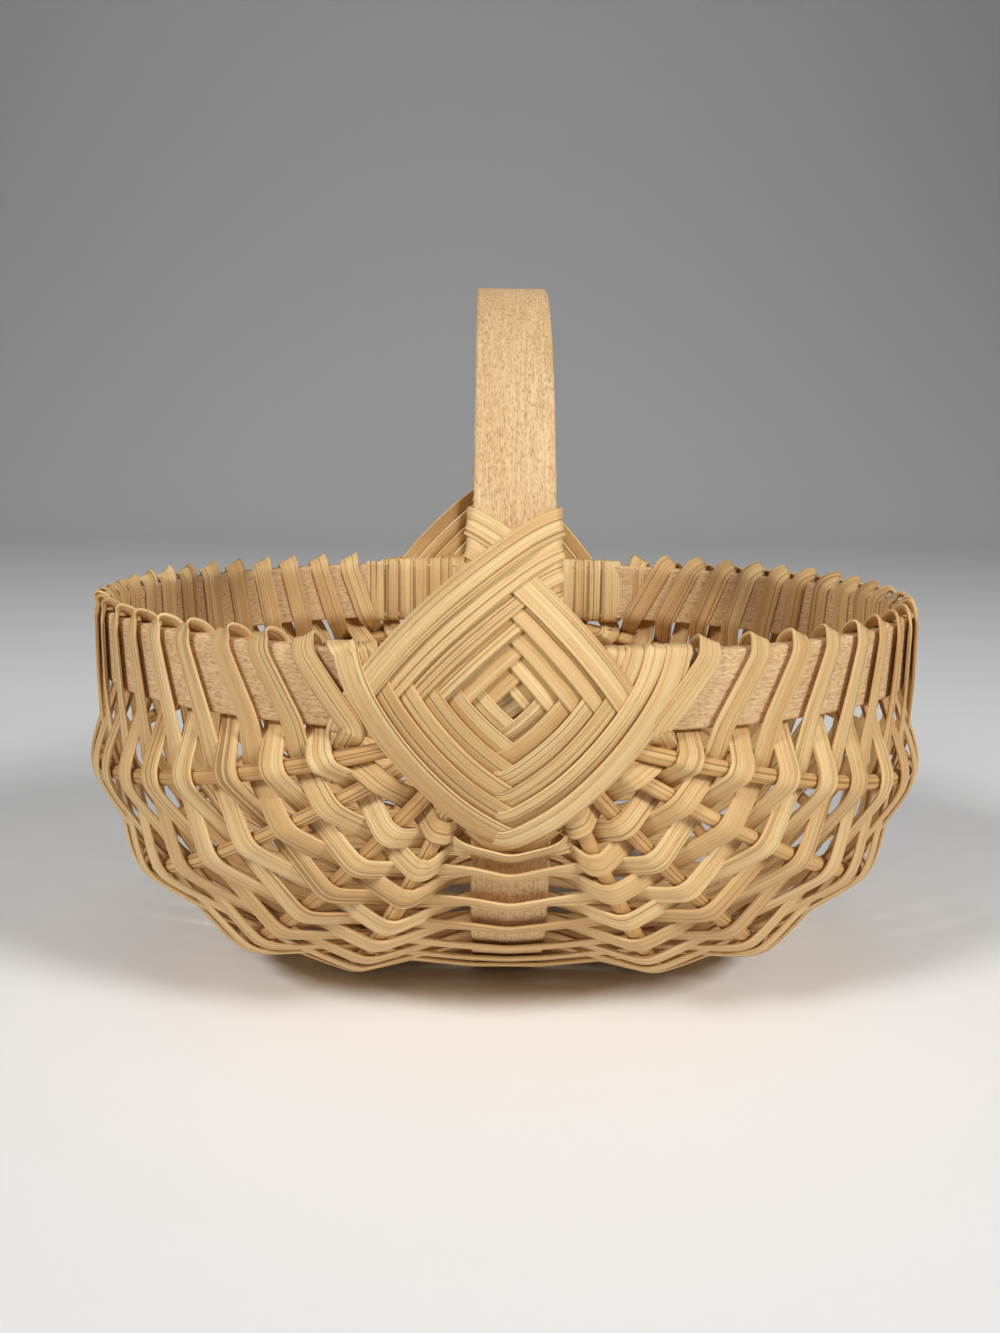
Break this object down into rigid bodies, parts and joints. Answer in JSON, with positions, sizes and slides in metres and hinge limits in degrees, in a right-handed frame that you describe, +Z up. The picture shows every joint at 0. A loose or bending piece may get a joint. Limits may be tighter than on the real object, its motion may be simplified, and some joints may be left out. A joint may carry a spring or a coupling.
{
  "type": "buttocks basket",
  "caption": "Oval ribbed basket of flat reed woven over round ribs, its rim and handle hoops lashed crosswise by diamond eyes, with a lobed bottom and a fixed arched handle.",
  "frame": {"origin": "on the surface that the basket stands on, under the middle of its bottom", "axes": "+X along the rim's long side, +Y from the front eye to the back eye, +Z up"},
  "size_m": [0.241, 0.1972, 0.1953],
  "materials": {
    "hoop_wood": "matte bare wood",
    "rib_reed": "satin round reed",
    "flat_reed": "satin flat reed"
  },
  "bodies": {
    "root": {"rim_hoop": "hoop_wood", "handle_hoop": "hoop_wood", "upper_rib_right": "rib_reed", "upper_rib_left": "rib_reed", "lower_rib_right": "rib_reed", "lower_rib_left": "rib_reed", "outer_bottom_rib_right": "rib_reed", "outer_bottom_rib_left": "rib_reed", "inner_bottom_rib_right": "rib_reed", "inner_bottom_rib_left": "rib_reed", "weaver_01": "flat_reed", "weaver_02": "flat_reed", "weaver_03": "flat_reed", "weaver_04": "flat_reed", "weaver_05": "flat_reed", "weaver_06": "flat_reed", "weaver_07": "flat_reed", "weaver_08": "flat_reed", "weaver_09": "flat_reed", "weaver_10": "flat_reed", "weaver_11": "flat_reed", "weaver_12": "flat_reed", "weaver_13": "flat_reed", "weaver_14": "flat_reed", "front_eye": "flat_reed", "back_eye": "flat_reed"}
  },
  "joints": []
}
